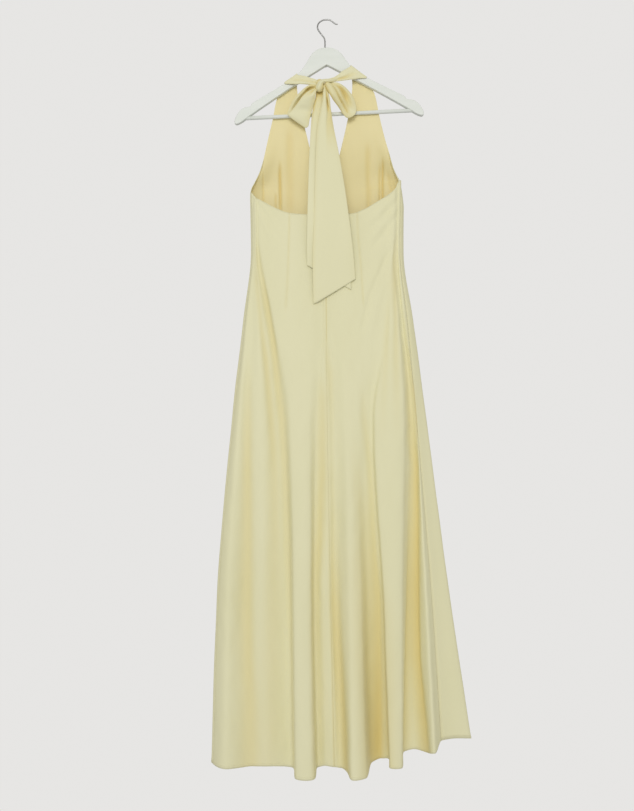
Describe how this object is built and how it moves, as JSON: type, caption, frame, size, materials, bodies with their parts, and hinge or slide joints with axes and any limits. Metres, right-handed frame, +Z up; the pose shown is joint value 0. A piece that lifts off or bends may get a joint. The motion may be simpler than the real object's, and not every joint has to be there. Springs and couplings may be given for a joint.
{
  "type": "halter maxi dress on a hanger",
  "caption": "Long halter dress with a low back, flared skirt and a bow tied at the neck, hung on a flat wooden hanger by its steel hook.",
  "frame": {"origin": "underside of the hook's crown, where a rail or a wall hook carries it", "axes": "+Z up; the back of the dress with its bow faces -Y; +X to the right as one looks at the back"},
  "size_m": [0.5958, 0.0994, 1.7022],
  "materials": {
    "crepe": "satin-back crepe, soft sheen",
    "zip_tape": "woven tape",
    "zip_metal": "satin lacquer",
    "painted_wood": "white satin paint",
    "steel_wire": "bright zinc"
  },
  "bodies": {
    "dress_and_hanger": {"back_left": "crepe", "back_right": "crepe", "front": "crepe", "strap_left": "crepe", "strap_right": "crepe", "bow_knot": "crepe", "bow_loop_left": "crepe", "bow_loop_right": "crepe", "tail_front": "crepe", "tail_back": "crepe", "zip": "zip_tape", "zip_slider": "zip_metal", "hanger_body": "painted_wood", "hanger_bar": "painted_wood", "hanger_hook": "steel_wire"},
    "pull": {"zip_pull": "zip_metal"}
  },
  "joints": [
    {"name": "pull_swing", "type": "hinge", "parent": "dress_and_hanger", "child": "pull", "pos_m": [-0.001, -0.0251, -0.452], "axis": [-1, 0, 0], "range_deg": [-9, 14]}
  ]
}
